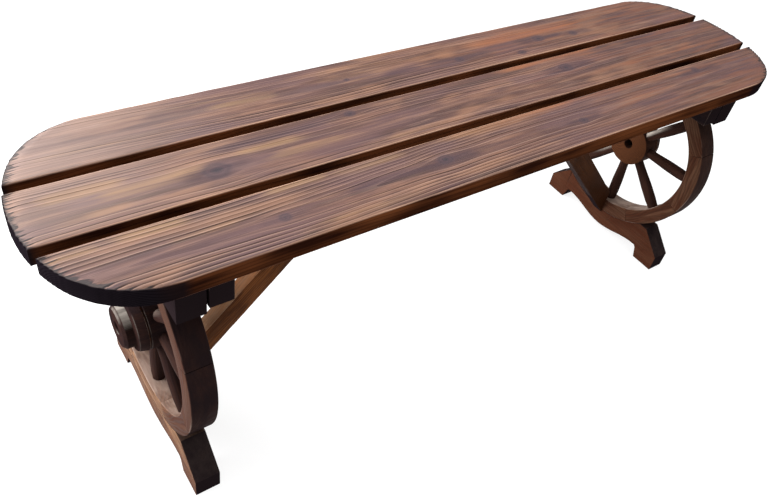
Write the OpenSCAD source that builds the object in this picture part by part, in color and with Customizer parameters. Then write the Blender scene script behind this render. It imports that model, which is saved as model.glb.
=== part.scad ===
// Backless garden bench: three planks on two cart-wheel legs.
// Millimetres, +Z up. X runs along the seat, and the front faces -Y.
// The origin is on the floor, below the middle of the seat.
// Left is the -X end, and right is the +X end.

/* [Seat] */
// Length of the seat, end to end
seat_length = 1334; // [1240:2:1600]
// Height of the seat's top face above the floor
seat_height = 450; // [440:1:480]
// Width of one plank
plank_width = 99; // [88:1:104]
// Thickness of a plank
plank_thickness = 27; // [24:0.5:32]
// Gap between two planks
plank_gap = 15; // [8:1:22]
// Radius that eases the long edges of the planks
plank_edge_radius = 4; // [2:0.5:6]
// Radius of the seat's end, seen from above
end_radius = 220; // [210:1:300]
// Radius that joins the seat's end to its long sides
corner_radius = 122; // [90:1:140]

/* [Wheels] */
// Distance between the middle planes of the two wheels
wheel_spacing = 1042; // [960:2:1080]
// Outer radius of a wheel
wheel_radius = 174; // [170:0.5:180]
// Height of a wheel's centre above the floor
wheel_centre_height = 216.5; // [214:0.5:224]
// Width of a rim along the seat
rim_width = 38; // [34:1:44]
// Depth of a rim from its outer to its inner face
rim_depth = 30; // [27:1:36]
// How far the right wheel is turned about its axis, its front spoke up, in degrees
right_wheel_turn = 3; // [0:0.5:6]
// Radius of a wheel's hub
hub_radius = 45; // [42:1:56]
// How far a hub stands out past the rim's outer face
hub_reach = 32; // [26:1:38]
// How far a hub's inner face is set back from the rim's
hub_recess = 4; // [0:0.5:6]
// Depth of the groove round a hub at the rim's outer face
hub_groove = 2; // [1:0.5:3]
// Radius to which a hub narrows from the groove to its nose
hub_shoulder_radius = 42; // [39:0.5:44]
// How far a hub's nose starts past the rim's outer face
hub_nose_start = 17; // [14:1:20]
// Radius of a hub's nose, the narrower outermost part
hub_nose_radius = 33; // [29:0.5:37]
// Size of the chamfer at a hub's outer end
hub_chamfer = 4; // [2:0.5:5]
// Bore through a hub
hub_bore_d = 20; // [14:1:24]
// Diameter of a spoke where it enters the hub
spoke_root_d = 18.5; // [15:0.5:20]
// Diameter of a spoke at its thickest place, near the rim
spoke_belly_d = 22; // [21:0.5:28]
// Diameter of a spoke where it enters the rim
spoke_tip_d = 19.5; // [17:0.5:24]
// Diameter of the tenon at each end of a spoke
tenon_d = 12; // [10:0.5:13]
// Length of the tenon at each end of a spoke
tenon_length = 10; // [8:0.5:12]
// Diameter of the dowels that pin the rim's segments end to end
dowel_d = 8; // [6:0.5:10]
// Length of those dowels
dowel_length = 30; // [20:1:36]

/* [Crossbars] */
// Length of the crossbars from front to back
bar_length = 290; // [280:2:304]
// Height of the bolster that sits on top of a wheel
bolster_height = 63; // [58:1:68]
// Height of the batten beside the bolster
batten_height = 56; // [50:1:60]
// Width of the batten along the seat
batten_width = 33; // [28:1:38]
// Gap between the bolster and the batten
batten_gap = 3; // [1:0.5:6]

/* [Foot rails] */
// Length of a foot rail from front to back
rail_length = 318; // [306:2:330]
// How far a foot rail is set towards the front
rail_offset = 15; // [0:1:15]
// Height of a foot rail at the top of its sloping ends
rail_height = 79; // [74:1:84]
// Height of the upright part of a rail's end
toe_height = 34; // [28:1:40]
// Length of the slope above it, from front to back
toe_slope = 48; // [40:1:54]
// Length of each pad that stands on the floor
pad_length = 46; // [40:1:54]
// How far a pad's inner side leans outwards, foot to top
pad_lean = 7; // [2:1:10]
// Height of the hollow beside a pad
hollow_height = 26; // [22:1:30]
// Height of the rail's belly above the floor, at its middle
belly_height = 8; // [5:0.5:11]

/* [Braces] */
// Angle of a brace above the floor
brace_angle = 46; // [43:0.5:48]
// Depth of a brace, square to its length
brace_depth = 40; // [36:1:44]
// Thickness of a brace from front to back
brace_thickness = 24; // [20:1:30]
// Height above the floor of a brace's lowest point
brace_foot_height = 37; // [34:1:39]
// Diameter of the dowels that pin a brace's foot to the rim
brace_dowel_d = 6; // [5:0.5:6.5]
// Length of those dowels
brace_dowel_length = 26; // [20:1:28]

/* [Fits and fasteners] */
// Clearance of a tenon, dowel, screw or wheel in its seat
fit = 0.1; // [0.05:0.05:0.2]
// Depth left free at the bottom of a socket
socket_relief = 1; // [0.5:0.5:2]
// Shank diameter of the wood screws
screw_d = 5; // [4:0.5:6]
// Head diameter of the wood screws
screw_head_d = 9.5; // [8:0.5:11]
// Height of a screw's conical head
screw_head_height = 4; // [3:0.5:5]
// Depth that the screws from below reach into a plank
plank_bite = 14; // [10:1:18]
// Length of the screws that hold the planks
seat_screw_length = 70; // [64:1:70]
// Length of the screws between a wheel and what it is let into
wheel_screw_length = 50; // [44:1:54]
// Length of the screws at the top of a brace
brace_screw_length = 35; // [32:1:40]

/* [Hidden] */
ENDS = ["left", "right"];
PLANKS = ["front", "middle", "back"];
SEGMENTS = 8;
segment_angle = 360 / SEGMENTS;
$fn = 96;

// Cuts run this far past the faces that they open
over = 1;

// Seat
plank_pitch = plank_width + plank_gap;
seat_width = len(PLANKS) * plank_pitch - plank_gap;
seat_underside = seat_height - plank_thickness;
end_x = seat_length / 2 - end_radius;
corner_y = seat_width / 2 - corner_radius;
corner_turn = asin(corner_y / (end_radius - corner_radius));
corner_x = end_x + (end_radius - corner_radius) * cos(corner_turn);

// Wheels
wheel_x = wheel_spacing / 2;
rim_inner_radius = wheel_radius - rim_depth;
rim_inner_x = wheel_x - rim_width / 2;
rim_outer_x = wheel_x + rim_width / 2;
saddle_radius = wheel_radius + fit;
socket_d = tenon_d + 2 * fit;
socket_depth = tenon_length + socket_relief;
dowel_radius = wheel_radius - rim_depth / 2;
hub_inner_x = rim_inner_x + hub_recess;
hub_outer_x = rim_outer_x + hub_reach;
hub_nose_x = rim_outer_x + hub_nose_start;
groove_half = 2;
hub_step = 1.5;
spoke_root_length = 8;
spoke_tip_length = 30;
spoke_belly_length = 12;

// Crossbars
batten_inner_x = rim_inner_x - batten_gap - batten_width;
batten_middle_x = batten_inner_x + batten_width / 2;

// Foot rails
pad_inner = rail_length / 2 - pad_length;
hollow_round = 4;
rail_head_depth = 9;
belly_half = pad_inner - pad_lean - 2 * hollow_round;
BELLY_STEPS = 16;

// Braces
brace_slope = tan(brace_angle);
brace_cut_height = brace_depth / cos(brace_angle);

brace_dowel_web = 1.5;
brace_dowel_y = 6;
brace_dowel_top = wheel_centre_height - rim_inner_radius - socket_depth - brace_dowel_web;
brace_dowel_height = brace_dowel_top - brace_dowel_d / 2;

// Places of the screws, measured from the middle of what they hold
screw_tip = 6;
plank_screw_spread = 22;
bar_end_margin = 20;
wheel_screw_y = 30;
rail_screw_head_height = belly_height + rail_head_depth;
brace_screw_gap = 16;
brace_screw_setback = 13;

// Points on a plane that stands across the seat, drawn in (y, z), pushed out along X
module across_seat(x_from, x_to) {
    translate([x_from, 0, 0])
        rotate([90, 0, 90])
            linear_extrude(height = x_to - x_from)
                children();
}

// What is drawn for the right end is mirrored for the left one
module at_end(end) {
    $wheel_turn = end == "right" ? right_wheel_turn : 0;
    if (end == "left")
        mirror([1, 0, 0]) children();
    else
        children();
}

// A round bar along X, centred on the wheel's axis
module wheel_cylinder(radius, x_from, x_to) {
    translate([x_from, 0, wheel_centre_height])
        rotate([0, 90, 0])
            cylinder(r = radius, h = x_to - x_from, $fn = 192);
}

// Turns a thing drawn along +Z from the axis to stand at segment k of the wheel
module at_spoke(k, half_steps = 0) {
    translate([wheel_x, 0, wheel_centre_height])
        rotate([(k - 1 + half_steps / 2) * segment_angle - $wheel_turn, 0, 0])
            children();
}

// A wood screw that points along +Z, with its head's flat face at z = 0
module screw(length, ease = 0) {
    shank = screw_d / 2 + ease;
    head = screw_head_d / 2 + ease;
    rotate_extrude($fn = 32)
        polygon([
            [0, 0], [head, 0], [shank, screw_head_height],
            [shank, length - screw_tip], [0, length]
        ]);
}

// The hole that a screw leaves, with a well of the head's size behind it
module screw_hole(length, well) {
    screw(length, fit);
    translate([0, 0, -well])
        cylinder(d = screw_head_d + 2 * fit, h = well + fit, $fn = 32);
}

// Seat screws: six up through the batten, two up through the bolster's ends
module seat_screw_places() {
    head_z = seat_underside + plank_bite - seat_screw_length;
    for (p = [-1:1])
        for (s = [-1, 1])
            translate([batten_middle_x, p * plank_pitch + s * plank_screw_spread, head_z])
                children();
    for (s = [-1, 1])
        translate([wheel_x, s * (bar_length / 2 - bar_end_margin), head_z])
            children();
}

// Wheel screws: two down through the bolster and two up through the foot rail
module wheel_screw_places() {
    for (s = [-1, 1]) {
        translate([wheel_x, s * wheel_screw_y, seat_underside])
            mirror([0, 0, 1])
                children();
        translate([wheel_x, s * wheel_screw_y, rail_screw_head_height])
            children();
    }
}

// Brace dowels: two level ones, half in the brace's foot and half in the rim
module brace_dowel_places() {
    for (s = [-1, 1])
        translate([rim_inner_x, s * brace_dowel_y, brace_dowel_height])
            rotate([0, 90, 0])
                children();
}

// Brace screws: two upright ones through the brace's top into the plank
module brace_screw_places() {
    top_z = seat_underside + plank_bite - brace_screw_length;
    top_x = rim_inner_x - (seat_underside - brace_foot_height - brace_cut_height) / brace_slope;
    for (s = [0, 1])
        translate([top_x - brace_screw_setback - s * brace_screw_gap, 0, top_z])
            children();
}

module seat_outline() {
    square([2 * corner_x, seat_width], center = true);
    for (sx = [-1, 1]) {
        for (sy = [-1, 1])
            translate([sx * corner_x, sy * corner_y])
                circle(r = corner_radius, $fn = 240);
        intersection() {
            translate([sx * end_x, 0])
                circle(r = end_radius, $fn = 360);
            polygon([
                [sx * end_x, 0],
                [sx * (end_x + 2 * end_radius), 2 * end_radius * tan(corner_turn)],
                [sx * (end_x + 2 * end_radius), -2 * end_radius * tan(corner_turn)]
            ]);
        }
    }
}

// Section of a plank across its length, with eased edges
module plank_section() {
    r = plank_edge_radius;
    w = plank_width;
    t = plank_thickness;
    translate([-w / 2 + r, 0])
        square([w - 2 * r, t]);
    translate([-w / 2, r])
        square([w, t - 2 * r]);
    for (sy = [-1, 1])
        for (z = [r, t - r])
            translate([sy * (w / 2 - r), z])
                circle(r = r, $fn = 32);
}

module plank(place) {
    row = search([place], PLANKS)[0] - 1;
    color("sienna")
        difference() {
            intersection() {
                translate([0, row * plank_pitch, seat_underside])
                    across_seat(-seat_length / 2, seat_length / 2)
                        plank_section();
                translate([0, 0, seat_underside - over])
                    linear_extrude(height = plank_thickness + 2 * over)
                        seat_outline();
            }
            for (e = ENDS)
                at_end(e) {
                    seat_screw_places() screw(seat_screw_length, fit);
                    if (row == 0)
                        brace_screw_places() screw(brace_screw_length, fit);
                }
        }
}

// The crossbar that is hollowed to sit on the wheel
module bolster(end) {
    color("saddlebrown")
        at_end(end)
            difference() {
                translate([rim_inner_x, -bar_length / 2, seat_underside - bolster_height])
                    cube([rim_width, bar_length, bolster_height]);
                wheel_cylinder(saddle_radius, rim_inner_x - over, rim_outer_x + over);
                seat_screw_places() screw_hole(seat_screw_length, bolster_height);
                wheel_screw_places() screw(wheel_screw_length, fit);
            }
}

// The plain crossbar beside it
module batten(end) {
    color("saddlebrown")
        at_end(end)
            difference() {
                translate([batten_inner_x, -bar_length / 2, seat_underside - batten_height])
                    cube([batten_width, bar_length, batten_height]);
                seat_screw_places() screw_hole(seat_screw_length, batten_height);
            }
}

// Underside of the rail from one pad to the other, as points (y, z)
function belly(step) =
    let (y = belly_half * (1 - 2 * step / BELLY_STEPS))
    [y, belly_height + (hollow_height - belly_height) * (1 - cos(180 * y / belly_half)) / 2];

module rail_section() {
    half = rail_length / 2;
    side = pad_inner - pad_lean;
    polygon(concat(
        [
            [-pad_inner, 0], [-half, 0], [-half, toe_height],
            [-half + toe_slope, rail_height], [half - toe_slope, rail_height],
            [half, toe_height], [half, 0], [pad_inner, 0],
            [side, hollow_height - hollow_round], [side - hollow_round, hollow_height]
        ],
        [for (step = [0:BELLY_STEPS]) belly(step)],
        [[-side + hollow_round, hollow_height], [-side, hollow_height - hollow_round]]
    ));
}

module foot_rail(end) {
    color("saddlebrown")
        at_end(end)
            difference() {
                translate([0, -rail_offset, 0])
                    across_seat(rim_inner_x, rim_outer_x)
                        rail_section();
                wheel_cylinder(saddle_radius, rim_inner_x - over, rim_outer_x + over);
                wheel_screw_places() screw_hole(wheel_screw_length, rail_screw_head_height);
            }
}

module brace(end) {
    top = seat_underside;
    foot = brace_foot_height;
    color("peru")
        at_end(end)
            difference() {
                translate([0, brace_thickness / 2, 0])
                    rotate([90, 0, 0])
                        linear_extrude(height = brace_thickness)
                            polygon([
                                [rim_inner_x, foot],
                                [rim_inner_x, foot + brace_cut_height],
                                [rim_inner_x - (top - foot - brace_cut_height) / brace_slope, top],
                                [rim_inner_x - (top - foot) / brace_slope, top]
                            ]);
                brace_screw_places() screw_hole(brace_screw_length, brace_cut_height);
                brace_dowel_places() dowel(brace_dowel_d, brace_dowel_length, fit);
            }
}

// A hub is turned: flat at its inner face, grooved at the rim's outer face and stepped down to a nose
module hub(end) {
    bore = hub_bore_d / 2;
    color("saddlebrown")
        at_end(end)
            difference() {
                translate([0, 0, wheel_centre_height])
                    rotate([0, 90, 0])
                        rotate_extrude($fn = 96)
                            polygon([
                                [bore, hub_inner_x],
                                [hub_radius, hub_inner_x],
                                [hub_radius, rim_outer_x - groove_half],
                                [hub_radius - hub_groove, rim_outer_x],
                                [hub_radius, rim_outer_x + groove_half],
                                [hub_shoulder_radius, hub_nose_x - hub_step],
                                [hub_nose_radius, hub_nose_x],
                                [hub_nose_radius, hub_outer_x - hub_chamfer],
                                [hub_nose_radius - hub_chamfer, hub_outer_x],
                                [bore, hub_outer_x]
                            ]);
                for (k = [1:SEGMENTS])
                    at_spoke(k)
                        translate([0, 0, hub_radius - socket_depth])
                            cylinder(d = socket_d, h = socket_depth + over, $fn = 48);
            }
}

// One of the curved blocks that make the rim, with its spoke's socket in its middle
module rim_segment(end, k) {
    reach = 2 * wheel_radius;
    color("saddlebrown")
        at_end(end)
            difference() {
                wheel_cylinder(wheel_radius, rim_inner_x, rim_outer_x);
                wheel_cylinder(rim_inner_radius, rim_inner_x - over, rim_outer_x + over);
                // everything past the segment's two end faces
                for (side = [-1, 1])
                    at_spoke(k, side)
                        translate([-reach / 2, side < 0 ? 0 : -reach, -reach])
                            cube([reach, reach, 2 * reach]);
                at_spoke(k)
                    translate([0, 0, rim_inner_radius - over])
                        cylinder(d = socket_d, h = socket_depth + over, $fn = 48);
                for (side = [-1, 1])
                    at_joint(k, side) dowel(dowel_d, dowel_length, fit);
                wheel_screw_places() screw(wheel_screw_length, fit);
                brace_dowel_places() dowel(brace_dowel_d, brace_dowel_length, fit);
            }
}

// A dowel along Z about the origin, or, with an ease, the hole that takes it
module dowel(diameter, length, ease = 0) {
    relief = ease > 0 ? socket_relief : 0;
    cylinder(d = diameter + 2 * ease, h = length + 2 * relief, center = true, $fn = 32);
}

// Lays a dowel across one of the joints at the ends of segment k
module at_joint(k, side) {
    at_spoke(k, side)
        translate([0, 0, dowel_radius])
            rotate([90, 0, 0])
                children();
}

module rim_dowels(end) {
    color("tan")
        at_end(end)
            for (k = [1:SEGMENTS])
                at_joint(k, 1) dowel(dowel_d, dowel_length);
}

// A spoke is turned: it swells to a belly near the rim and has a tenon at each end
module spoke(end, k) {
    belly_at = rim_inner_radius - spoke_tip_length;
    color("saddlebrown")
        at_end(end) {
            difference() {
                intersection() {
                    at_spoke(k)
                        rotate_extrude($fn = 48)
                            polygon([
                                [0, 0],
                                [spoke_root_d / 2, 0],
                                [spoke_root_d / 2, hub_radius + spoke_root_length],
                                [spoke_belly_d / 2, belly_at],
                                [spoke_belly_d / 2, belly_at + spoke_belly_length],
                                [spoke_tip_d / 2, rim_inner_radius],
                                [spoke_tip_d / 2, wheel_radius],
                                [0, wheel_radius]
                            ]);
                    wheel_cylinder(rim_inner_radius, rim_inner_x, rim_outer_x);
                }
                wheel_cylinder(hub_radius, rim_inner_x - over, rim_outer_x + over);
            }
            at_spoke(k)
                translate([0, 0, hub_radius - tenon_length])
                    cylinder(d = tenon_d, h = rim_inner_radius - hub_radius + 2 * tenon_length, $fn = 48);
        }
}

module seat_screws(end) {
    color("silver")
        at_end(end)
            seat_screw_places() screw(seat_screw_length);
}

module wheel_screws(end) {
    color("silver")
        at_end(end)
            wheel_screw_places() screw(wheel_screw_length);
}

module brace_dowels(end) {
    color("tan")
        at_end(end)
            brace_dowel_places() dowel(brace_dowel_d, brace_dowel_length);
}

module brace_screws(end) {
    color("silver")
        at_end(end)
            brace_screw_places() screw(brace_screw_length);
}

for (p = PLANKS)
    plank(p);
for (e = ENDS) {
    bolster(e);
    batten(e);
    foot_rail(e);
    brace(e);
    hub(e);
    rim_dowels(e);
    seat_screws(e);
    wheel_screws(e);
    brace_dowels(e);
    brace_screws(e);
    for (k = [1:SEGMENTS]) {
        rim_segment(e, k);
        spoke(e, k);
    }
}
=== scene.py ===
"""A backless garden bench of scorched and wire-brushed fir on two cart-wheel legs.

Everything is in metres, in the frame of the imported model: +X along the seat, the front at -Y, +Z up.
"""
import math

import bmesh
import bpy
import numpy as np
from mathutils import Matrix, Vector, noise
from mathutils.geometry import delaunay_2d_cdt


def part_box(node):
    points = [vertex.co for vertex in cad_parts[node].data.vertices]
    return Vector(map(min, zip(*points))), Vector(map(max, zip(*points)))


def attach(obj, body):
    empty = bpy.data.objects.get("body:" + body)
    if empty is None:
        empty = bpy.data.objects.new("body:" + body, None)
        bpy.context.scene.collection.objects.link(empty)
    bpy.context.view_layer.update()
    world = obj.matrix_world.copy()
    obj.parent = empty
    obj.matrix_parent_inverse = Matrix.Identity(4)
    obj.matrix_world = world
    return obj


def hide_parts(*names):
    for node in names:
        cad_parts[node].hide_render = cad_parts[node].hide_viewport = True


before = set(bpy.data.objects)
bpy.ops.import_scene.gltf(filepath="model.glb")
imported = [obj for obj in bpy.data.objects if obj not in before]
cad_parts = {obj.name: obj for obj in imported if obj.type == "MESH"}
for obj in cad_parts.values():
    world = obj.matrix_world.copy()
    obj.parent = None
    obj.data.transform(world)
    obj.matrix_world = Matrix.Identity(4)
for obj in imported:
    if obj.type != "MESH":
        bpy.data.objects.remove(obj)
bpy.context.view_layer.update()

MM = 0.001
ENDS = ("left", "right")
SPOKES = 8
PLANK_NAMES = ("front", "middle", "back")

# Where the solids are
NODE_BOX = {name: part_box(name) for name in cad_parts}
PLANK_LOW, PLANK_HIGH = NODE_BOX["plank_middle"]
PLANK_THICKNESS = PLANK_HIGH.z - PLANK_LOW.z
SEAT_HALF_LENGTH = PLANK_HIGH.x
SEAT_HALF_WIDTH = NODE_BOX["plank_back"][1].y
HUB_LOW, HUB_HIGH = NODE_BOX["hub_right"]
WHEEL_HEIGHT = (HUB_LOW.z + HUB_HIGH.z) / 2
HUB_RADIUS = (HUB_HIGH.z - HUB_LOW.z) / 2
RIM_LOW, RIM_HIGH = NODE_BOX["rim_segment_left_3"]
RIM_OUTER_RADIUS = -RIM_LOW.y
RIM_INNER_X = -RIM_HIGH.x
RIM_OUTER_X = -RIM_LOW.x

# Sizes of the solids that a box doesn't give
END_RADIUS = 220 * MM
CORNER_RADIUS = 122 * MM
RIM_DEPTH = 30 * MM
RIM_INNER_RADIUS = RIM_OUTER_RADIUS - RIM_DEPTH
HUB_BORE_RADIUS = 10 * MM
HUB_GROOVE_DEPTH = 2 * MM
HUB_SHOULDER_RADIUS = 42 * MM
HUB_NOSE_START = 17 * MM
HUB_NOSE_RADIUS = 33 * MM
HUB_CHAMFER = 4 * MM
SPOKE_ROOT_RADIUS = 9.25 * MM
SPOKE_BELLY_RADIUS = 11 * MM
SPOKE_TIP_RADIUS = 9.75 * MM
BRACE_SLOPE = 1.0355       # the tangent of the 46 degrees at which the braces stand
RIGHT_WHEEL_TURN = math.radians(3)

# How the wood is finished
LONG_ARRIS = 3 * MM        # rounding of a plank's long edges
END_ARRIS = 1.6 * MM       # rounding of its end edges
SAWN_ARRIS = 1.3 * MM      # wear along the edges of the sawn pieces
BRUSH_DEPTH = 0.3 * MM     # depth to which the brush has cut the soft earlywood
END_TEETH = 1.1 * MM       # how far the hard latewood stands out at a plank's end
RIB_LENGTH = 22 * MM       # length over which the ribs fade into the flat top
END_DROP = 1.2 * MM        # how far the top is worn down at a plank's ends
SIDE_TEETH = 0.25          # share of the teeth's depth that goes on down a plank's end
FLAT_WEAR = 0.4            # share of the brush's depth by which the flat part of the top lies lower
UNCURLED = 0.8             # share of the end's wear that the pattern of the rings leaves out
BURNT_TIP = 100 * MM       # how far in the flame has blackened the sawn pieces' level faces
NICK_DEPTH = 0.6 * MM      # unevenness of the sawn pieces' edges
NICKS = 60                 # how many nicks an edge has in a metre
WORN_LENGTH = 2.5 * MM     # a sawn piece's edge is worn if it is longer than this
WORN_ANGLE = 25            # and if its two faces turn by more degrees than this
SPLASH_HEIGHT = 110 * MM   # height up to which the foot rails are grubby
BRACE_SHADE_HEIGHT = 340 * MM     # height up to which the right brace is painted darker: painted shade over its lower part
TURNED_WEAR = 1.2 * MM     # rounding of the hubs' edges
RIM_ARRIS = 1.4 * MM       # rounding of the rim blocks' edges
RIM_JOINT = 0.5 * MM       # gap between one block and the next, at the rim's tread

# A line of latewood, in mm inwards from its outer side: that side is sharp, and the inner one fades from
# the core to the reach, which grows with the spacing of the rings
LINE_EDGE = 0.35
LINE_CORE = 0.9
LINE_REACH = 1.9
LINE_GROWTH = 0.12

# Steps of the meshes
COLUMN_STEP = 5 * MM                      # between the points of a plank's top, along it
UNDER_STEP = (16 * MM, 6 * MM)            # between those of its underside
END_STEP = 0.9 * MM                       # between those round its ends
TOP_TURNS = (0, 25, 50, 72, 90)           # degrees round its upper arris, from the top down
SIDE_SHARES = (0.25, 0.45, 0.65, 0.85)    # shares of the side's height, from the top down
UNDER_TURNS = (90, 60, 30, 0)             # degrees round its lower arris
SLICE_STEP = 14 * MM                      # between the cuts across a sawn piece
HUB_STEPS = 96                            # round a hub
SPOKE_STEPS = 28                          # along a spoke, and round it
BLOCK_STEPS = 25                          # along a block of the rim

# The photograph's camera, solved from the bench's own straight edges and circles
CAMERA_PLACE = (-0.7322, -0.6773, 1.0393)
CAMERA_TURN = (46.093, -8.416, -34.386)
CAMERA_LENS = 34.317


def linear(colour):
    """An sRGB colour such as "8a6a58" as linear RGBA."""
    channels = [int(colour[i:i + 2], 16) / 255 for i in (0, 2, 4)]
    return [c / 12.92 if c <= 0.04045 else ((c + 0.055) / 1.055) ** 2.4 for c in channels] + [1.0]


def add(tree, kind, inputs=(), **settings):
    """Adds a node with its settings and links.

    The inputs are a list in their order, or a dictionary by name or number. Each takes a value, an
    output socket, or a node, which gives its first output that is in use.
    """
    made = tree.nodes.new(kind)
    for name, value in settings.items():
        setattr(made, name, value)
    for key, value in inputs.items() if isinstance(inputs, dict) else enumerate(inputs):
        if isinstance(value, bpy.types.Node):
            value = next(output for output in value.outputs if output.enabled)
        if isinstance(value, bpy.types.NodeSocket):
            tree.links.new(value, made.inputs[key])
        else:
            made.inputs[key].default_value = value
    return made


def smoothstep(low, high, value):
    t = np.clip((value - low) / (high - low), 0, 1)
    return t * t * (3 - 2 * t)


def latewood(ring, spacing):
    """How far a place lies in the dark, hard late part of its growth ring, from 0 to 1."""
    before = (1 - ring % 1.0) * spacing
    reach = LINE_REACH + LINE_GROWTH * spacing
    return smoothstep(0, LINE_EDGE, before) * (1 - smoothstep(LINE_CORE, reach, before))


# The boards' figure, read off the photograph: places in mm from the middle of the seat, and from each
# plank's own middle line. A knot is (x, y, radius); a patch is (from x, to x, y, half width, strength).
# The pith is how far the tree's middle lies aside and below the top, a ring its rings' width, the drift
# how far the pith wanders aside and in depth, and the phase a shift that makes the board its own. Lines
# are stronger where a board is bold, fainter where it is calm, and fainter all over where it is plain.
BOARDS = {
    "front": {
        "pith": (-2, 46), "ring": 3.1, "drift": (5, 2), "phase": 0.7, "plain": 0.0,
        "knots": [(-134, 6, 7), (-389, -6, 5), (461, 31, 5), (134, -4, 5)],
        "bold": [(-680, -440, -14, 60, 1.0), (-150, 160, -20, 34, 0.7)],
        "calm": [(80, 668, -16, 60, 0.9)],
        "smudges": [(-606, -594, -22, 7, 1.0), (-263, -121, 4, 10, 1.0), (-166, -96, 5, 17, 0.9),
                    (-410, -372, -6, 6, 0.7), (436, 505, 29, 14, 0.8), (118, 160, -2, 9, 0.8),
                    (-600, -560, -20, 12, 0.5), (250, 330, -14, 9, 0.6), (-30, 60, -24, 7, 0.5),
                    (560, 610, -8, 12, 0.5), (-160, 20, -2, 34, 0.35)],
        "gold": [(-560, -510, 40, 9, 1.0), (-640, -610, 36, 7, 0.8), (-372, -318, 42, 8, 1.0),
                 (-278, -199, 40, 8, 0.9), (-78, 120, 42, 9, 0.9), (-515, -454, 10, 9, 0.5),
                 (180, 420, 40, 8, 0.5), (-330, -220, -36, 7, 0.4), (260, 420, 6, 9, 0.3)],
    },
    "middle": {
        "pith": (-17, 40), "ring": 3.2, "drift": (7, 3), "phase": 2.9, "plain": 0.25,
        "knots": [(-424, -8, 11), (224, 12, 8), (-199, 35, 5)],
        "bold": [(-640, -420, -30, 16, 0.8), (-668, -540, 40, 14, 0.8), (-420, 500, -40, 12, 0.5),
                 (100, 500, 36, 16, 0.5)],
        "calm": [(470, 668, 0, 60, 0.5), (-668, -560, -20, 24, 0.6)],
        "smudges": [(-450, -396, -8, 15, 0.9), (-385, -275, 30, 9, 1.0), (-230, -170, 35, 9, 0.6),
                    (195, 268, 11, 14, 0.9), (330, 455, 30, 12, 0.7), (560, 668, -8, 10, 0.7),
                    (-60, 60, -6, 14, 0.45), (440, 520, -30, 10, 0.4), (-640, -600, 20, 12, 0.4)],
        "gold": [(-611, -550, 18, 12, 1.0), (-545, -455, 2, 11, 1.0), (-370, -315, 14, 9, 0.8),
                 (-330, -255, -9, 11, 0.6), (131, 290, 44, 9, 1.0), (366, 510, -22, 13, 0.5),
                 (-620, -560, -26, 6, 0.4), (-160, -40, -38, 6, 0.4)],
    },
    "back": {
        "pith": (4, 38), "ring": 3.4, "drift": (8, 2), "phase": 4.6, "plain": 0.8,
        "knots": [(-155, 0, 2.6), (247, -7, 7), (330, -14, 5), (183, -34, 5), (58, -14, 5)],
        "bold": [(-300, 600, -36, 14, 0.7)],
        "calm": [],
        "smudges": [(-600, -380, 12, 30, 0.5), (380, 640, 12, 30, 0.4), (-262, -180, -3, 8, 0.9),
                    (-170, -118, 5, 8, 0.6), (-74, -36, -9, 7, 0.7), (20, 104, -14, 10, 0.9),
                    (218, 288, -8, 10, 1.0), (312, 360, -14, 9, 0.8), (-420, -350, 22, 10, 0.4),
                    (440, 560, -6, 10, 0.4), (-560, -480, -12, 12, 0.35)],
        "gold": [(125, 330, 16, 16, 0.9), (-360, -290, 8, 11, 0.6), (360, 520, 20, 14, 0.5),
                 (-150, 120, 12, 30, 0.4), (-600, -520, -20, 10, 0.3)],
    },
}


def ring_number(board, x, y, z):
    """Growth ring at a place in mm: how many rings lie between the board's pith and it.

    The pith runs below the board and wanders, so its rings cut the top face as long arches. Round a
    knot the fibres part and close again.
    """
    phase = board["phase"]
    pith_y, pith_depth = board["pith"]
    side_drift, depth_drift = board["drift"]
    for knot_x, knot_y, radius in board["knots"]:
        along = (x - knot_x) / (4.5 * radius)
        aside = (y - knot_y) / radius
        y = y - 1.1 * radius * np.tanh(2.2 * aside) * np.exp(-along ** 2 - np.abs(aside) / 2.2)
    # the fibres waver by half a millimetre over 300 mm, and by less over 110 mm
    y = y - 0.5 * np.sin(x / 47 + y / 29 + phase) - 0.2 * np.sin(x / 17.3 + y / 13 + 2 * phase)
    axis_y = pith_y + side_drift * np.sin(x / 310 + phase) + 0.35 * side_drift * np.sin(x / 97 + 3 * phase)
    axis_z = -pith_depth + depth_drift * np.sin(x / 223 + 2 * phase)
    rings = np.hypot(y - axis_y, z - PLANK_THICKNESS / MM - axis_z) / board["ring"]
    # the tree grew faster in some years than in others, and 20 keeps every number above zero
    return rings + 0.9 * np.sin(rings * 0.41 + phase) + 20


def ring_spacing(board, x, y, z, side, end):
    """Spacing of the rings in mm on the surface: across the top, down a side, or both over an end."""
    near = 0.2
    narrowest, widest = 1.2, 12
    here = ring_number(board, x, y, z)
    over = ring_number(board, x, y + near, z) - here
    down = ring_number(board, x, y, z + near) - here
    step = np.hypot(over * (1 - side), down * np.maximum(side, end)) / near
    return np.clip(1 / np.maximum(step, 0.01), narrowest, widest)


def patches(spots, x, y):
    """Strength of a list of long soft patches at a place in mm. The longer one is, the slower it fades."""
    total = np.zeros_like(x)
    for start, stop, middle, half_width, strength in spots:
        past = np.maximum(np.maximum(start - x, x - stop), 0) / (14 + 0.18 * (stop - start))
        total = np.maximum(total, strength * np.exp(-past ** 2 - ((y - middle) / half_width) ** 2))
    return total


def faces_of(mesh):
    """The middles and the normals of a mesh's faces."""
    return np.array([p.center for p in mesh.polygons]), np.array([p.normal for p in mesh.polygons])


def write_attributes(mesh, values, domain="POINT"):
    for name, data in values.items():
        data = np.asarray(data, np.float32)
        kind = "FLOAT_VECTOR" if data.ndim == 2 else "FLOAT"
        layer = mesh.attributes.new(name, kind, domain)
        layer.data.foreach_set("vector" if data.ndim == 2 else "value", data.ravel())


def finish_piece(piece, material, nodes, sharp=35):
    """Gives a finished piece its material and its place in the frame."""
    piece.data.materials.clear()
    piece.data.materials.append(material)
    piece.data.shade_smooth()
    piece.data.set_sharp_from_angle(angle=math.radians(sharp))
    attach(piece, "root")
    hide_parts(*nodes)


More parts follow.
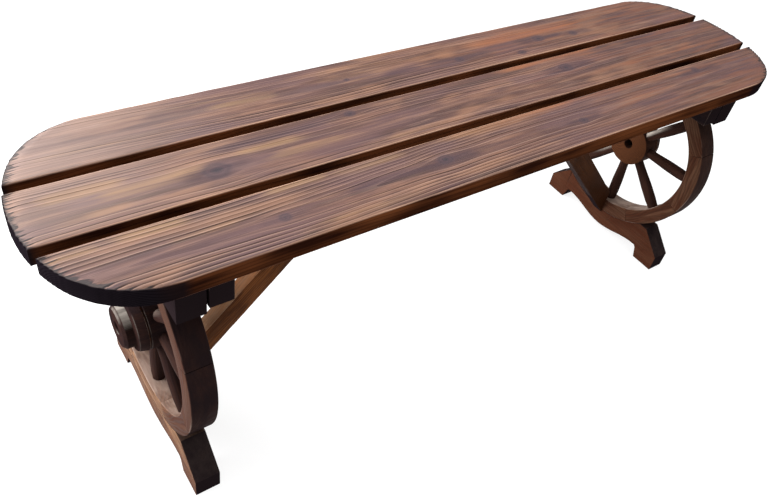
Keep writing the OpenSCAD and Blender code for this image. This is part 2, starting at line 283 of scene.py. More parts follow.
def link(name, mesh):
    piece = bpy.data.objects.new(name, mesh)
    bpy.context.scene.collection.objects.link(piece)
    return piece


# Planks

def arc(centre_x, centre_y, radius, start, stop):
    steps = max(2, int(radius * abs(stop - start) / END_STEP))
    turn = np.linspace(start, stop, steps)
    return np.column_stack([centre_x + radius * np.cos(turn), centre_y + radius * np.sin(turn)])


def seat_end():
    """The seat's right end seen from above, from its front side to its back side."""
    end_x = SEAT_HALF_LENGTH - END_RADIUS
    corner_y = SEAT_HALF_WIDTH - CORNER_RADIUS
    turn = math.asin(corner_y / (END_RADIUS - CORNER_RADIUS))
    corner_x = end_x + (END_RADIUS - CORNER_RADIUS) * math.cos(turn)
    front = arc(corner_x, -corner_y, CORNER_RADIUS, -math.pi / 2, -turn)
    middle = arc(end_x, 0, END_RADIUS, -turn, turn)
    back = arc(corner_x, corner_y, CORNER_RADIUS, turn, math.pi / 2)
    return np.vstack([front, middle[1:-1], back])


def plank_rows(low_y, high_y):
    """A plank's top seen from above: its rows of points, from its front side to its back side."""
    end = seat_end()
    inside = end[(end[:, 1] > low_y + END_STEP / 4) & (end[:, 1] < high_y - END_STEP / 4)]
    cuts = [[np.interp(y, end[:, 1], end[:, 0]), y] for y in (low_y, high_y)]
    right = np.vstack([cuts[0], inside, cuts[1]])
    across = np.linspace(-1, 1, int(2 * SEAT_HALF_LENGTH / COLUMN_STEP))
    return np.stack([np.outer(right[:, 0], across), np.outer(right[:, 1], np.ones_like(across))], -1)


def border_of(rows):
    """The places of the points round a table of rows, anticlockwise, as (row, column)."""
    last, end = rows.shape[0] - 1, rows.shape[1] - 1
    return ([(0, c) for c in range(end)] + [(r, end) for r in range(last)]
            + [(last, c) for c in range(end, 0, -1)] + [(r, 0) for r in range(last, 0, -1)])


def outward(outline):
    """How far each point of a closed outline faces the seat's ends: from -1 to 1."""
    along = np.roll(outline, -1, 0) - np.roll(outline, 1, 0)
    return along[:, 1] / np.linalg.norm(along, axis=1)


def to_seat_end(places):
    """How far places on the seat lie from its nearer end."""
    seat = seat_end()
    return np.interp(places[:, 1], seat[:, 1], seat[:, 0]) - np.abs(places[:, 0])


def hardness(board, flat, middle_y, end):
    """How hard a plank's top is at some places, from 0 to 1: the brush leaves the hard lines standing."""
    x, y = flat[:, 0] / MM, (flat[:, 1] - middle_y) / MM
    z = np.full(len(flat), PLANK_THICKNESS / MM)
    return latewood(ring_number(board, x, y, z), ring_spacing(board, x, y, z, 0, end))


def drawn_in(flat, box, share, bite=0.0):
    """Places on a plank drawn in by a share of its arris, and along X by the bite.

    The bite is negative at the left end.
    """
    low, high = box
    middle_y, half_y = (low.y + high.y) / 2, (high.y - low.y) / 2
    x = flat[:, 0] * (1 - END_ARRIS * share / SEAT_HALF_LENGTH) - bite
    y = middle_y + (flat[:, 1] - middle_y) * (1 - LONG_ARRIS * share / half_y)
    return np.column_stack([x, y])


def plank_loops(outline, box, at_end, hard):
    """Loops of points round a plank, from its top to its underside, and how far each looks aside."""
    low, high = box
    arris = LONG_ARRIS + (END_ARRIS - LONG_ARRIS) * at_end
    bite = np.sign(outward(outline)) * END_TEETH * at_end * (1 - hard)
    loops, aside = [], []
    for turn in np.radians(TOP_TURNS):
        worn = END_DROP * at_end + BRUSH_DEPTH * (1 - hard) * math.cos(turn)
        teeth = bite * (SIDE_TEETH + (1 - SIDE_TEETH) * math.cos(turn))
        flat = drawn_in(outline, box, 1 - math.sin(turn), teeth)
        loops.append(np.column_stack([flat, high.z - arris * (1 - math.cos(turn)) - worn]))
        aside.append(math.sin(turn))
    for share in SIDE_SHARES:
        z = high.z - arris - (PLANK_THICKNESS - 2 * arris) * share
        loops.append(np.column_stack([drawn_in(outline, box, 0, SIDE_TEETH * bite), z]))
        aside.append(1)
    for turn in np.radians(UNDER_TURNS):
        flat = drawn_in(outline, box, 1 - math.sin(turn), SIDE_TEETH * bite)
        loops.append(np.column_stack([flat, low.z + arris * (1 - math.cos(turn))]))
        aside.append(math.sin(turn))
    return loops, aside


def loop_quads(loops, count):
    """Faces from one loop of count points to the next."""
    quads = []
    for k in range(loops - 1):
        for i in range(count):
            j = (i + 1) % count
            quads.append((k * count + i, (k + 1) * count + i, (k + 1) * count + j, k * count + j))
    return quads


def row_quads(rows, border, first):
    """Faces from row to row over a plank's top, and which of the rows' points lie inside the border.

    The border's points are those of the first loop, and the ones inside it are numbered from first on.
    """
    number = np.full(rows.shape[:2], -1)
    for i, place in enumerate(border):
        number[place] = i
    inside = number < 0
    number[inside] = first + np.arange(inside.sum())
    corners = number[:-1, :-1], number[:-1, 1:], number[1:, 1:], number[1:, :-1]
    return np.stack(corners, -1).reshape(-1, 4).tolist(), inside


def fill_face(border, hull, step, margin):
    """Triangles over the inside of a border, on a grid: (points, triangles), the border's points first.

    The grid keeps clear of the hull, a convex outline just outside the border.
    """
    low, high = border.min(0), border.max(0)
    xs = np.arange(low[0] + step[0] / 2, high[0], step[0])
    ys = np.arange(low[1] + step[1] / 2, high[1], step[1])
    grid = np.stack(np.meshgrid(xs, ys), -1).reshape(-1, 2)
    edge = np.roll(hull, -1, 0) - hull
    inward = np.column_stack([-edge[:, 1], edge[:, 0]]) / np.linalg.norm(edge, axis=1)[:, None]
    clear = np.full(len(grid), np.inf)
    for start, normal in zip(hull, inward):
        clear = np.minimum(clear, (grid - start) @ normal)
    points = np.vstack([border, grid[clear > margin]])
    squeeze = np.array([step[1] / step[0], 1.0])
    flat = [Vector(p) for p in points * squeeze]
    made = delaunay_2d_cdt(flat, [], [list(range(len(border)))], 1, 1e-9)
    source = [ids[0] for ids in made[3]]
    return points, [[source[i] for i in face] for face in made[2]]


def board_figure(board, x, y, z, uncurled, side, end):
    """The board's figure at places in mm, z from its underside, as its material reads it."""
    knot = np.full(len(x), 9.0)
    for knot_x, knot_y, radius in board["knots"]:
        knot = np.minimum(knot, np.hypot((x - knot_x) / 1.35, y - knot_y) / radius)
    return {"ring": ring_number(board, x, y, uncurled), "spacing": ring_spacing(board, x, y, z, side, end),
            "knot": knot, "smudge": patches(board["smudges"], x, y), "gold": patches(board["gold"], x, y),
            "bold": patches(board["bold"], x, y) - patches(board["calm"], x, y) - board["plain"]}


def plank(name, material):
    """A plank: rounded arrises, and growth rings that the brush has left standing."""
    node, board = "plank_" + name, BOARDS[name]
    low, high = box = NODE_BOX[node]
    middle_y = (low.y + high.y) / 2
    rows = plank_rows(low.y, high.y)
    border = border_of(rows)
    outline = np.array([rows[place] for place in border])
    at_end = smoothstep(0.04, 0.3, np.abs(outward(outline)))
    loops, aside = plank_loops(outline, box, at_end, hardness(board, outline, middle_y, at_end))
    count, on_loops = len(outline), len(loops) * len(outline)

    # the top: quads from row to row, ribbed at both ends and flat between them
    top_faces, inside = row_quads(rows, border, on_loops)
    top = drawn_in(rows[inside], box, 1)
    ribbed = 1 - smoothstep(RIB_LENGTH / 5, RIB_LENGTH, to_seat_end(top))
    brushed = ribbed * (1 - hardness(board, top, middle_y, 0)) + (1 - ribbed) * FLAT_WEAR
    worn = BRUSH_DEPTH * brushed + END_DROP * ribbed ** 2

    # the underside: triangles inside the last loop
    hull = drawn_in(outline, box, 1)
    under, under_faces = fill_face(loops[-1][:, :2], hull, UNDER_STEP, END_TEETH + 2 * MM)
    under = under[count:]
    last, shift = on_loops - count, on_loops + len(top) - count
    faces = loop_quads(len(loops), count) + top_faces
    faces += [[v + (last if v < count else shift) for v in face[::-1]] for face in under_faces]

    co = np.vstack(loops + [np.column_stack([top, high.z - worn]),
                            np.column_stack([under, np.full(len(under), low.z)])])
    mesh = bpy.data.meshes.new(node)
    mesh.from_pydata(co.tolist(), [], faces)

    x, y, z = co[:, 0] / MM, (co[:, 1] - middle_y) / MM, (co[:, 2] - low.z) / MM
    off_loops = np.zeros(len(co) - on_loops)
    side = np.append(np.repeat(aside, count), off_loops)
    end = smoothstep(0.1, 0.7, side) * np.append(np.tile(at_end, len(loops)), off_loops)
    # the rings' own curl over the worn end is eased, or it would close into loops
    eased = UNCURLED * END_DROP / MM
    uncurled = z.copy()
    uncurled[:len(TOP_TURNS) * count] += eased * np.tile(at_end, len(TOP_TURNS))
    uncurled[on_loops:on_loops + len(top)] += eased * ribbed ** 2
    write_attributes(mesh, {**board_figure(board, x, y, z, uncurled, side, end), "side": side, "end": end,
                            "under": (z < PLANK_THICKNESS / MM / 2) * (side < 0.5),
                            "from_end": np.maximum(to_seat_end(co), 0) / MM})
    finish_piece(link("seat_plank_" + name, mesh), material, [node], 60)


# Sawn pieces

def worn_solid(name, node, along, seed):
    """A sawn piece's solid, sliced along its grain, with worn and slightly nicked edges."""
    bm = bmesh.new()
    bm.from_mesh(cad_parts[node].data)
    # the solid comes as loose triangles: they are joined, and its flat faces made whole again
    bmesh.ops.remove_doubles(bm, verts=bm.verts, dist=2e-6)
    bmesh.ops.dissolve_limit(bm, angle_limit=math.radians(0.8), verts=bm.verts, edges=bm.edges)
    reach = [v.co.dot(along) for v in bm.verts]
    for place in np.arange(min(reach) + SLICE_STEP / 2, max(reach), SLICE_STEP):
        everything = bm.verts[:] + bm.edges[:] + bm.faces[:]
        bmesh.ops.bisect_plane(bm, geom=everything, plane_co=along * place, plane_no=along, dist=1e-5)
    edges = [e for e in bm.edges if e.is_manifold and e.calc_length() > WORN_LENGTH
             and e.calc_face_angle(0) > math.radians(WORN_ANGLE)]
    worn = bm.faces.layers.float.new("arris")
    made = bmesh.ops.bevel(bm, geom=edges, offset=SAWN_ARRIS, segments=2, profile=0.6,
                           affect="EDGES", clamp_overlap=True)
    for face in made["faces"]:
        face[worn] = 1.0
    bm.normal_update()
    for vert in {v for face in made["faces"] for v in face.verts}:
        nick = max(0.0, noise.noise(vert.co * NICKS + Vector((seed, 0, 0)))) * NICK_DEPTH
        vert.co -= vert.normal * nick
    mesh = bpy.data.meshes.new(name)
    bm.to_mesh(mesh)
    bm.free()
    return mesh


def sawn_piece(name, node, along, across, material, char_and_painted_shade, shade, seed, upward_bleach_and_sheen=0.0, grime_and_shade=0.0,
               grime_and_shade_up_to=SPLASH_HEIGHT):
    """A sawn piece: its worn solid, and coordinates that follow its grain.

    Three numbers say how black its faces across X, Y and Z are: the flame's charring, and in part painted
    shade. shade says how dark the stain is, and in part paints shade on the pieces further from the light. A
    slope that looks up can be painted pale: bleach and a painted sheen. The part below the height it is given
    is darker, the more so the lower it is: grime on the left foot rail, painted shade on the right brace.
    """
    along, across = Vector(along).normalized(), Vector(across).normalized()
    mesh = worn_solid(name, node, along, seed)
    co = np.array([v.co for v in mesh.vertices])
    middle = (co.min(0) + co.max(0)) / 2
    grain = np.column_stack([(co - middle) @ np.array(d) for d in (along, across, along.cross(across))])
    centre, normal = faces_of(mesh)
    place = (centre - middle) @ np.array(along)
    near_tip = smoothstep(place.max() - BURNT_TIP, place.max() - BURNT_TIP / 2, np.abs(place))
    # each face is blackened by its direction across X, Y and Z: the flame's charring, and in part painted
    # shade
    flame = normal ** 2 * np.array(char_and_painted_shade)
    # the level faces are blackened near the tips, and hardly between them
    flame[:, 2] *= 0.1 + 0.9 * near_tip
    # darker towards the bottom: grime on the left foot rail, painted shade on the right brace
    low = 1 - smoothstep(0, grime_and_shade_up_to, co[:, 2])
    cut = smoothstep(0.6, 0.9, np.abs(normal @ np.array(along)))
    # where in the tree the piece was cut, from 0 to 1
    in_tree = seed * 0.137 % 1
    write_attributes(mesh, {"grain": grain, "piece": np.full(len(co), in_tree),
                            "shade": shade + grime_and_shade * low})
    write_attributes(mesh, {"cut": cut, "char_and_painted_shade": flame.sum(1),
                            "bleach_and_sheen": upward_bleach_and_sheen * (1 - cut) * smoothstep(0.5, 0.7, normal[:, 2])}, "FACE")
    finish_piece(link(name, mesh), material, [node])


# Turned pieces

def hub_profile(inner, nose, outer):
    """Half of a hub's section: each point's place along the axis, radius, and whether it is worn light."""
    wear = TURNED_WEAR
    profile = [(inner, HUB_BORE_RADIUS + wear, 0), (inner, HUB_RADIUS - wear, 0),
               (inner + wear * 0.3, HUB_RADIUS - wear * 0.3, 0), (inner + wear, HUB_RADIUS, 0)]
    for away, depth, worn in ((-2, 0, 1), (-1.1, 0.6, 0), (0, 1, 0), (1.1, 0.6, 0), (2, 0, 1)):
        profile.append((RIM_OUTER_X + away * MM, HUB_RADIUS - depth * HUB_GROOVE_DEPTH, worn))
    profile += [(nose - 3 * MM, HUB_SHOULDER_RADIUS, 0),
                (nose - 1.8 * MM, HUB_SHOULDER_RADIUS - 0.8 * MM, 1),
                (nose - 0.4 * MM, HUB_NOSE_RADIUS + 2.4 * MM, 0), (nose + 0.4 * MM, HUB_NOSE_RADIUS, 0),
                (outer - HUB_CHAMFER, HUB_NOSE_RADIUS, 0),
                (outer - HUB_CHAMFER * 0.6, HUB_NOSE_RADIUS - HUB_CHAMFER * 0.45, 1),
                (outer, HUB_NOSE_RADIUS - HUB_CHAMFER, 0), (outer, HUB_BORE_RADIUS + wear, 0),
                (outer - wear, HUB_BORE_RADIUS, 0), (inner + wear, HUB_BORE_RADIUS, 0)]
    return profile


def hub(end, material):
    """A hub: turned, with a groove at the rim's outer face, a narrower nose and worn edges."""
    left = end == "left"
    side = -1 if left else 1
    low, high = NODE_BOX["hub_" + end]
    inner, outer = sorted([abs(low.x), abs(high.x)])
    nose = RIM_OUTER_X + HUB_NOSE_START
    profile = hub_profile(inner, nose, outer)
    count = len(profile)
    co, faces, worn = [], [], []
    for i in range(HUB_STEPS):
        turn = 2 * math.pi * i / HUB_STEPS
        for x, radius, _ in profile:
            co.append((side * x, radius * math.cos(turn), WHEEL_HEIGHT + radius * math.sin(turn)))
        here, beyond = i * count, (i + 1) % HUB_STEPS * count
        for k in range(count):
            m = (k + 1) % count
            face = (here + k, here + m, beyond + m, beyond + k)
            faces.append(face if left else face[::-1])
            width = math.dist(profile[k][:2], profile[m][:2])
            worn.append(0.6 * max(profile[k][2], profile[m][2]) * (width < 2 * MM))
    mesh = bpy.data.meshes.new("turned_hub_" + end)
    mesh.from_pydata(co, [], faces)
    grain = np.array(co) - np.array([side * (inner + outer) / 2, 0, WHEEL_HEIGHT])
    centre, normal = faces_of(mesh)
    # the left hub's nose is painted pale on top, a painted sheen; the inner face of either isn't blackened
    at_nose = np.abs(centre[:, 0]) > nose
    char_and_painted_shade = np.where(normal[:, 0] * side < -0.5, 0, 1.0 if left else 0.7)
    write_attributes(mesh, {"grain": grain, "piece": np.full(len(co), 0.31 if left else 0.77),
                            "shade": np.full(len(co), 0.2)})
    write_attributes(mesh, {"cut": smoothstep(0.6, 0.9, np.abs(normal[:, 0])), "arris": worn, "char_and_painted_shade": char_and_painted_shade,
                            "bleach_and_sheen": 0.5 * smoothstep(0.55, 0.95, normal[:, 2]) * left * at_nose}, "FACE")
    finish_piece(link("turned_hub_" + end, mesh), material, ["hub_" + end], 40)


def new_tree(name, sizes, counts=()):
    """An empty node tree that gives geometry, with named inputs for its sizes and counts."""
    tree = bpy.data.node_groups.new(name, "GeometryNodeTree")
    tree.interface.new_socket("Geometry", in_out="OUTPUT", socket_type="NodeSocketGeometry")
    for size in sizes:
        tree.interface.new_socket(size, in_out="INPUT", socket_type="NodeSocketFloat")
    for count in counts:
        tree.interface.new_socket(count, in_out="INPUT", socket_type="NodeSocketInt")
    return tree, tree.nodes.new("NodeGroupInput").outputs


def around_wheel(tree, given, piece):
    """Repeats a piece, made for the top of a wheel, round the wheel's axis, and stands it in its place."""
    points = add(tree, "GeometryNodePoints", {"Count": given["Pieces"]})
    index = add(tree, "GeometryNodeInputIndex")
    step = add(tree, "ShaderNodeMath", [2 * math.pi, given["Pieces"]], operation="DIVIDE")
    turn = add(tree, "ShaderNodeMath", [index, step, given["Turn"]], operation="MULTIPLY_ADD")
    rotation = add(tree, "ShaderNodeCombineXYZ", {"X": turn})
    placed = add(tree, "GeometryNodeInstanceOnPoints", {"Points": points, "Instance": piece,
                 "Rotation": rotation})
    chance = add(tree, "FunctionNodeRandomValue", {"Seed": 7}, data_type="FLOAT")
    marked = add(tree, "GeometryNodeStoreNamedAttribute", {"Geometry": placed, "Name": "piece",
                 "Value": chance}, data_type="FLOAT", domain="INSTANCE")
    solid = add(tree, "GeometryNodeRealizeInstances", {"Geometry": marked})
    centre = add(tree, "ShaderNodeCombineXYZ", {"X": given["Middle"], "Z": given["Height"]})
    return add(tree, "GeometryNodeTransform", {"Geometry": solid, "Translation": centre})


def store_grain(tree, geometry, along, across, deep):
    """Stores coordinates that follow the grain: along it, and the two ways across it."""
    grain = add(tree, "ShaderNodeCombineXYZ", [along, across, deep])
    return add(tree, "GeometryNodeStoreNamedAttribute", {"Geometry": geometry, "Name": "grain",
               "Value": grain}, data_type="FLOAT_VECTOR", domain="POINT")


def rim_tree(material):
    """A rim: curved blocks with worn arrises, end to end round the wheel."""
    tree, given = new_tree("Rim of sawn blocks", ("Outer radius", "Inner radius", "Width", "Joint", "Arris",
                                                  "Turn", "Middle", "Height"), ("Pieces",))
    radii = given["Outer radius"], given["Inner radius"]
    both = add(tree, "ShaderNodeMath", radii, operation="ADD")
    middle = add(tree, "ShaderNodeMath", [both, 0.5], operation="MULTIPLY")
    depth = add(tree, "ShaderNodeMath", radii, operation="SUBTRACT")
    step = add(tree, "ShaderNodeMath", [2 * math.pi, given["Pieces"]], operation="DIVIDE")
    lost = add(tree, "ShaderNodeMath", [given["Joint"], given["Outer radius"]], operation="DIVIDE")
    sweep = add(tree, "ShaderNodeMath", [step, lost], operation="SUBTRACT")
    start = add(tree, "ShaderNodeMath", [sweep, -0.5], operation="MULTIPLY")
    path = add(tree, "GeometryNodeCurveArc", {"Resolution": BLOCK_STEPS, "Radius": middle,
               "Start Angle": start, "Sweep Angle": sweep}, mode="RADIUS")
    section = add(tree, "GeometryNodeCurvePrimitiveQuadrilateral", {"Width": depth, "Height": given["Width"]})
    rounded = add(tree, "GeometryNodeFilletCurve", {"Curve": section, "Radius": given["Arris"], "Count": 2},
                  mode="POLY")
    block = add(tree, "GeometryNodeCurveToMesh", {"Curve": path, "Profile Curve": rounded, "Fill Caps": True})
    x, y, z = add(tree, "ShaderNodeSeparateXYZ", [add(tree, "GeometryNodeInputPosition")]).outputs
    radial = add(tree, "ShaderNodeMath", [x, middle], operation="SUBTRACT")
    stored = store_grain(tree, block, y, z, radial)
    # the arc lies in XY about +X; this turns its middle to +Z and its axis to X
    upright = add(tree, "GeometryNodeTransform", {"Geometry": stored, "Rotation": (0, -math.pi / 2, 0)})
    wheel = around_wheel(tree, given, upright)
    finished = add(tree, "GeometryNodeSetMaterial", {"Geometry": wheel, "Material": material})
    add(tree, "NodeGroupOutput", [finished])
    return tree


def spoke_tree(material):
    """Turned spokes: slim at the hub, swelling to a belly, and slim again at the rim."""
    tree, given = new_tree("Turned spokes", ("From radius", "To radius", "Root radius", "Belly radius",
                                             "Tip radius", "Turn", "Middle", "Height"), ("Pieces",))
    start = add(tree, "ShaderNodeCombineXYZ", {"Z": given["From radius"]})
    stop = add(tree, "ShaderNodeCombineXYZ", {"Z": given["To radius"]})
    line = add(tree, "GeometryNodeCurvePrimitiveLine", {"Start": start, "End": stop})
    path = add(tree, "GeometryNodeResampleCurve", {"Curve": line, "Count": SPOKE_STEPS})
    part = add(tree, "GeometryNodeSplineParameter").outputs["Factor"]
    swell = add(tree, "ShaderNodeMapRange", [part, 0.1, 0.6, given["Root radius"], given["Belly radius"]],
                interpolation_type="SMOOTHSTEP")
    taper = add(tree, "ShaderNodeMapRange", [part, 0.78, 1.0], interpolation_type="SMOOTHSTEP")
    radius = add(tree, "ShaderNodeMix", {0: taper, 2: swell, 3: given["Tip radius"]}, data_type="FLOAT")
    section = add(tree, "GeometryNodeCurvePrimitiveCircle", {"Resolution": SPOKE_STEPS, "Radius": 1.0})
    rod = add(tree, "GeometryNodeCurveToMesh", {"Curve": path, "Profile Curve": section, "Scale": radius,
              "Fill Caps": True})
    x, y, z = add(tree, "ShaderNodeSeparateXYZ", [add(tree, "GeometryNodeInputPosition")]).outputs
    stored = store_grain(tree, rod, z, x, y)
    wheel = around_wheel(tree, given, stored)
    finished = add(tree, "GeometryNodeSetMaterial", {"Geometry": wheel, "Material": material})
    add(tree, "NodeGroupOutput", [finished])
    return tree


def grow(tree, name, inputs):
    """Runs a node tree and returns its result as a plain object."""
    holder = link("holder", bpy.data.meshes.new("holder"))
    modifier = holder.modifiers.new("tree", "NODES")
    modifier.node_group = tree
    for item in tree.interface.items_tree:
        if item.in_out == "INPUT":
            modifier[item.identifier] = inputs[item.name]
    depsgraph = bpy.context.evaluated_depsgraph_get()
    mesh = bpy.data.meshes.new_from_object(holder.evaluated_get(depsgraph), preserve_all_data_layers=True,
                                           depsgraph=depsgraph)
    bpy.data.objects.remove(holder)
    mesh.name = name
    return link(name, mesh)


def weather_rim(mesh, end):
    """Marks which faces of a rim are worn at the edge, cut across the grain, made pale, blackened or
    darkened, with painted light and shade among them.

    The tread is the blackest, and the inner side is painted pale where it looks up: a painted sheen. The left
    rim's two sides are painted lighter below the hub, except at the front, as painted light; the right rim is
    blacker towards the back.
    """
    centre, normal = faces_of(mesh)
    area = np.array([p.area for p in mesh.polygons])
    corners = np.array([len(p.vertices) for p in mesh.polygons])
    y, z = centre[:, 1], centre[:, 2] - WHEEL_HEIGHT
    out = (normal[:, 1] * y + normal[:, 2] * z) / np.hypot(y, z)
    bleach_and_sheen = smoothstep(0.6, 0.9, -out) * smoothstep(0.3, 0.8, normal[:, 2])
    if end == "left":
        # painted light: the left rim's sides are lighter below the hub, except at the front
        worn = smoothstep(-0.12, -0.02, y) * (z < 0) * (np.abs(normal[:, 0]) > 0.7)
        bleach_and_sheen, char_and_painted_shade, shade = 0.55 * bleach_and_sheen, 0.36 * (1 - worn), 0.9 - 0.5 * worn
    else:
        char_and_painted_shade, shade = 0.25 + 0.45 * smoothstep(-0.06, 0.1, y), np.full(len(out), 0.8)
    # a block's roundings are made of faces under 9 mm2, and its ends have more than 8 corners
    write_attributes(mesh, {"arris": area < 9e-6, "cut": corners > 8, "bleach_and_sheen": bleach_and_sheen,
                            "char_and_painted_shade": char_and_painted_shade + 0.6 * out, "shade": shade}, "FACE")


def weather_spokes(mesh, end):
    """Marks where the spokes are painted pale, and how black they are elsewhere.

    They are painted pale on top, near the hub, where they run from the upper front to the lower back: bare
    wood and a painted highlight, plainly so on the right wheel, and hardly on the left one.
    """
    centre, normal = faces_of(mesh)
    y, z = centre[:, 1], centre[:, 2] - WHEEL_HEIGHT
    away = np.hypot(y, z)
    # bare wood and a painted highlight on the spokes' tops near the hub
    bare = smoothstep(0.0, 0.6, normal[:, 2]) * (1 - smoothstep(HUB_RADIUS, RIM_INNER_RADIUS * 0.8, away))
    bare *= smoothstep(0.25, 0.45, -y * z / away ** 2)
    bare *= 0.1 if end == "left" else np.where(z > 0, 1.2, 0.5)
    dark = 0.85 if end == "left" else 0.7
    none = np.zeros(len(bare))
    write_attributes(mesh, {"arris": none, "cut": none, "bleach_and_sheen": bare, "shade": none + 0.4,
                            "char_and_painted_shade": dark * np.maximum(1 - bare, 0)}, "FACE")


def wheels(sawn, turned):
    """Rims and spokes of both wheels."""
    blocks, rods = rim_tree(sawn), spoke_tree(turned)
    for end in ENDS:
        side = -1 if end == "left" else 1
        turn = RIGHT_WHEEL_TURN * (end == "right")
        place = {"Turn": -turn, "Middle": side * (RIM_INNER_X + RIM_OUTER_X) / 2, "Height": WHEEL_HEIGHT,
                 "Pieces": SPOKES}
        rim = grow(blocks, "rim_" + end, {**place, "Outer radius": RIM_OUTER_RADIUS,
                   "Inner radius": RIM_INNER_RADIUS, "Width": RIM_OUTER_X - RIM_INNER_X,
                   "Joint": RIM_JOINT, "Arris": RIM_ARRIS})
        weather_rim(rim.data, end)
        finish_piece(rim, sawn, ["rim_segment_%s_%d" % (end, k + 1) for k in range(SPOKES)], 50)
        spokes = grow(rods, "spokes_" + end, {**place, "From radius": HUB_RADIUS - 4 * MM,
                      "To radius": RIM_INNER_RADIUS + 3 * MM, "Root radius": SPOKE_ROOT_RADIUS,
                      "Belly radius": SPOKE_BELLY_RADIUS, "Tip radius": SPOKE_TIP_RADIUS})
        weather_spokes(spokes.data, end)
        finish_piece(spokes, turned, ["spoke_%s_%d" % (end, k + 1) for k in range(SPOKES)])


# Materials

# a colour Mix node's inputs
SHARE, UNDER, OVER = 0, 6, 7


def new_material(name):
    material = bpy.data.materials.new(name)
    material.use_nodes = True
    tree = material.node_tree
    tree.nodes.clear()
    return material, tree


def coat(tree, under, over, mask, low=0.0, high=1.0, start=0.0, stop=1.0, step="LINEAR"):
    """Lays a coat of stain, soot or wear over a colour.

    Its strength goes from start to stop as the mask goes from low to high, and is held there beyond.
    """
    strength = add(tree, "ShaderNodeMapRange", [mask, low, high, start, stop], interpolation_type=step)
    return add(tree, "ShaderNodeMix", {SHARE: strength, UNDER: under, OVER: over}, data_type="RGBA")


def coats(tree, colour, *layers):
    """Lays coats one over another: each is its colour, its mask, and how its strength follows the mask."""
    for over, mask, *steps in layers:
        colour = coat(tree, colour, linear(over), mask, *steps)
    return colour


def thinned(tree, strength, *fades):
    """A strength thinned by one mask after another, each with how the share that is left follows it."""
    for fade in fades:
        part = add(tree, "ShaderNodeMapRange", fade)
        strength = add(tree, "ShaderNodeMath", [strength, part], operation="MULTIPLY")
    return strength


def grain_marks(tree, place, per_metre, detail=3.0, roughness=0.5, shift=0.0):
    """Soft marks drawn out along X: per_metre says how many there are along the grain, and across it."""
    along, across = per_metre
    mapped = add(tree, "ShaderNodeMapping", {"Vector": place, "Scale": (along, across, across),
                 "Location": (shift, shift, shift)})
    return add(tree, "ShaderNodeTexNoise", {"Vector": mapped, "Scale": 1.0, "Detail": detail,
               "Roughness": roughness})


def ring_lines(tree, ring, spacing, widened=0.0):
    """Latewood lines from the number of the growth ring and the rings' spacing in mm, from 0 to 1.

    They are latewood()'s, and widened, up to 1, makes their soft side 0.9 mm wider.
    """
    part = add(tree, "ShaderNodeMath", [ring], operation="FRACT")
    left = add(tree, "ShaderNodeMath", [1.0, part], operation="SUBTRACT")
    before = add(tree, "ShaderNodeMath", [left, spacing], operation="MULTIPLY")
    sharp = add(tree, "ShaderNodeMapRange", [before, 0.0, LINE_EDGE], interpolation_type="SMOOTHSTEP")
    widest = add(tree, "ShaderNodeMath", [widened, 0.9, LINE_REACH], operation="MULTIPLY_ADD")
    reach = add(tree, "ShaderNodeMath", [spacing, LINE_GROWTH, widest], operation="MULTIPLY_ADD")
    soft = add(tree, "ShaderNodeMapRange", [before, LINE_CORE, reach, 1.0, 0.0],
               interpolation_type="SMOOTHSTEP")
    return add(tree, "ShaderNodeMath", [sharp, soft], operation="MULTIPLY")


def chance_of_ring(tree, ring, shift):
    """A random number from 0 to 1 for each growth ring."""
    whole = add(tree, "ShaderNodeMath", [ring], operation="FLOOR")
    key = add(tree, "ShaderNodeMath", [whole, shift], operation="ADD")
    return add(tree, "ShaderNodeTexWhiteNoise", {"W": key}, noise_dimensions="1D")


def wood_surface(tree, colour, rough, gloss, relief, strength, depth):
    """Ends a wood's tree: its colour, how rough and how glossy it is, and its finest relief."""
    bump = add(tree, "ShaderNodeBump", {"Strength": strength, "Distance": depth, "Height": relief})
    shader = add(tree, "ShaderNodeBsdfPrincipled", {"Base Color": colour, "Roughness": rough, "Normal": bump,
                 "IOR": 1.5, "Specular IOR Level": gloss})
    add(tree, "ShaderNodeOutputMaterial", {"Surface": shader})


